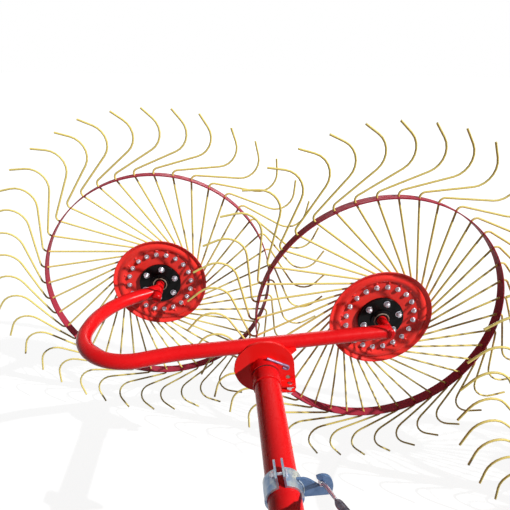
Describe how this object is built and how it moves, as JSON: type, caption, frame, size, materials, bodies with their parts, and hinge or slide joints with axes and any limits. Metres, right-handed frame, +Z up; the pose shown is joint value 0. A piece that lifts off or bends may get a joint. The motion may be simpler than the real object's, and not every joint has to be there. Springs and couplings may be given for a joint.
{
  "type": "mounted finger-wheel hay tedder",
  "caption": "Mounted hay tedder and rake: sprung-tine finger wheels in echelon on bent rocker beams, booms, slanting toolbar and three-point headstock.",
  "frame": {"origin": "floor level under the centre of the whole machine's box", "axes": "+X along the wheel planes, +Y along the wheel axles away from the headstock, +Z up"},
  "size_m": [3.8436, 2.741, 1.3898],
  "materials": {
    "frame_red": "gloss",
    "rim_dark_red": "gloss",
    "tine_yellow": "gloss",
    "hub_black": "satin",
    "zinc_plate": "galvanised"
  },
  "bodies": {
    "boom_a": {"boom_a_clamp": "zinc_plate", "boom_a_hook": "zinc_plate", "boom_a_retaining_pin": "zinc_plate", "boom_a_tube": "frame_red"},
    "boom_b": {"boom_b_clamp": "zinc_plate", "boom_b_hook": "zinc_plate", "boom_b_retaining_pin": "zinc_plate", "boom_b_tube": "frame_red"},
    "frame": {"frame_a_balance_spring": "zinc_plate", "frame_a_bracket": "frame_red", "frame_a_spring_post": "frame_red", "frame_b_balance_spring": "zinc_plate", "frame_b_bracket": "frame_red", "frame_b_spring_post": "frame_red", "headstock_crossbar": "frame_red", "headstock_neck": "frame_red", "hitch_plate_left": "frame_red", "hitch_plate_right": "frame_red", "mast_bar_left": "frame_red", "mast_bar_right": "frame_red", "mast_stay": "frame_red", "stand_1_sleeve": "frame_red", "stand_2_sleeve": "frame_red", "stand_3_sleeve": "frame_red", "toolbar": "frame_red"},
    "rocker_a": {"rocker_a_beam": "frame_red", "rocker_a_pivot": "frame_red", "rocker_a_stub_far": "frame_red", "rocker_a_stub_near": "frame_red"},
    "rocker_b": {"rocker_b_beam": "frame_red", "rocker_b_pivot": "frame_red", "rocker_b_stub_far": "frame_red", "rocker_b_stub_near": "frame_red"},
    "stand_1": {"stand_1_leg": "frame_red"},
    "stand_2": {"stand_2_leg": "frame_red"},
    "stand_3": {"stand_3_leg": "frame_red"},
    "wheel_1": {"wheel_1_disc": "frame_red", "wheel_1_hub": "hub_black", "wheel_1_rim": "rim_dark_red", "wheel_1_tines": "tine_yellow"},
    "wheel_2": {"wheel_2_disc": "frame_red", "wheel_2_hub": "hub_black", "wheel_2_rim": "rim_dark_red", "wheel_2_tines": "tine_yellow"},
    "wheel_3": {"wheel_3_disc": "frame_red", "wheel_3_hub": "hub_black", "wheel_3_rim": "rim_dark_red", "wheel_3_tines": "tine_yellow"},
    "wheel_4": {"wheel_4_disc": "frame_red", "wheel_4_hub": "hub_black", "wheel_4_rim": "rim_dark_red", "wheel_4_tines": "tine_yellow"}
  },
  "joints": [
    {"name": "lift_a", "type": "hinge", "parent": "frame", "child": "boom_a", "pos_m": [-0.84186, -0.09948, 0.62889], "axis": [1, 0, 0], "range_deg": [-6, 12], "deforming": ["frame_a_balance_spring"]},
    {"name": "rock_a", "type": "hinge", "parent": "boom_a", "child": "rocker_a", "pos_m": [-0.84186, 0.80052, 0.62889], "axis": [0, 1, 0], "range_deg": [-12, 12]},
    {"name": "lift_b", "type": "hinge", "parent": "frame", "child": "boom_b", "pos_m": [0.79214, -0.77948, 0.62889], "axis": [1, 0, 0], "range_deg": [-6, 12], "deforming": ["frame_b_balance_spring"]},
    {"name": "rock_b", "type": "hinge", "parent": "boom_b", "child": "rocker_b", "pos_m": [0.79214, 0.12052, 0.62889], "axis": [0, 1, 0], "range_deg": [-12, 12]},
    {"name": "spin_1", "type": "hinge", "parent": "rocker_a", "child": "wheel_1", "pos_m": [-1.22686, 1.30052, 0.6949], "axis": [0, 1, 0], "continuous": true},
    {"name": "spin_2", "type": "hinge", "parent": "rocker_a", "child": "wheel_2", "pos_m": [-0.40686, 0.98352, 0.6949], "axis": [0, 1, 0], "continuous": true},
    {"name": "spin_3", "type": "hinge", "parent": "rocker_b", "child": "wheel_3", "pos_m": [0.40714, 0.62052, 0.6949], "axis": [0, 1, 0], "continuous": true},
    {"name": "spin_4", "type": "hinge", "parent": "rocker_b", "child": "wheel_4", "pos_m": [1.22714, 0.30352, 0.6949], "axis": [0, 1, 0], "continuous": true},
    {"name": "stand_1_slide", "type": "slide", "parent": "frame", "child": "stand_1", "axis": [0, 0, 1], "range_m": [0, 0.25]},
    {"name": "stand_2_slide", "type": "slide", "parent": "frame", "child": "stand_2", "axis": [0, 0, 1], "range_m": [0, 0.25]},
    {"name": "stand_3_slide", "type": "slide", "parent": "frame", "child": "stand_3", "axis": [0, 0, 1], "range_m": [0, 0.25]}
  ]
}
